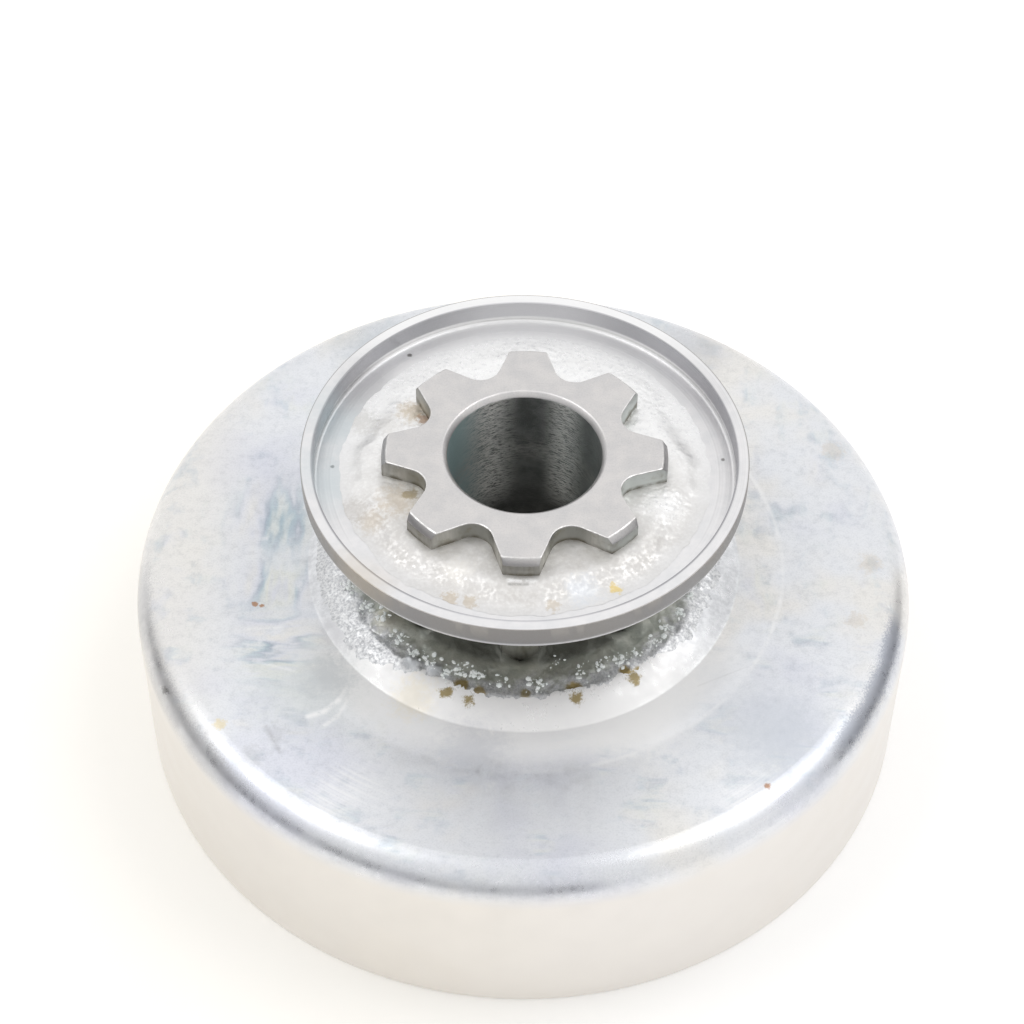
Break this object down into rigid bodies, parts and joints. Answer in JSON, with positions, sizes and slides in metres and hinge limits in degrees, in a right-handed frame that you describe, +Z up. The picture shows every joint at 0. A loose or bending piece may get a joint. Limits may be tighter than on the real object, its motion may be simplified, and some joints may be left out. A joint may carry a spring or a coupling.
{
  "type": "chainsaw clutch drum",
  "caption": "Pressed steel clutch drum, open at one end, with a toothed spur sprocket brazed to its face and a dished plate that guides the saw chain.",
  "frame": {"origin": "centre of the drum's open rim, on the plane it stands on", "axes": "+Z up the bore axis towards the free end of the sprocket; -Y through the middle of one tooth"},
  "size_m": [0.0732, 0.0732, 0.034],
  "materials": {
    "drum_steel": "bright plated pressing with tarnish tints",
    "sprocket_steel": "ground end, darker milled flanks",
    "plate_steel": "satin turned",
    "braze": "granular silver filler metal"
  },
  "bodies": {
    "root": {"clutch_drum": "drum_steel", "spur_sprocket": "sprocket_steel", "guide_plate": "plate_steel", "plate_braze": "braze", "collar_braze": "braze"}
  },
  "joints": []
}
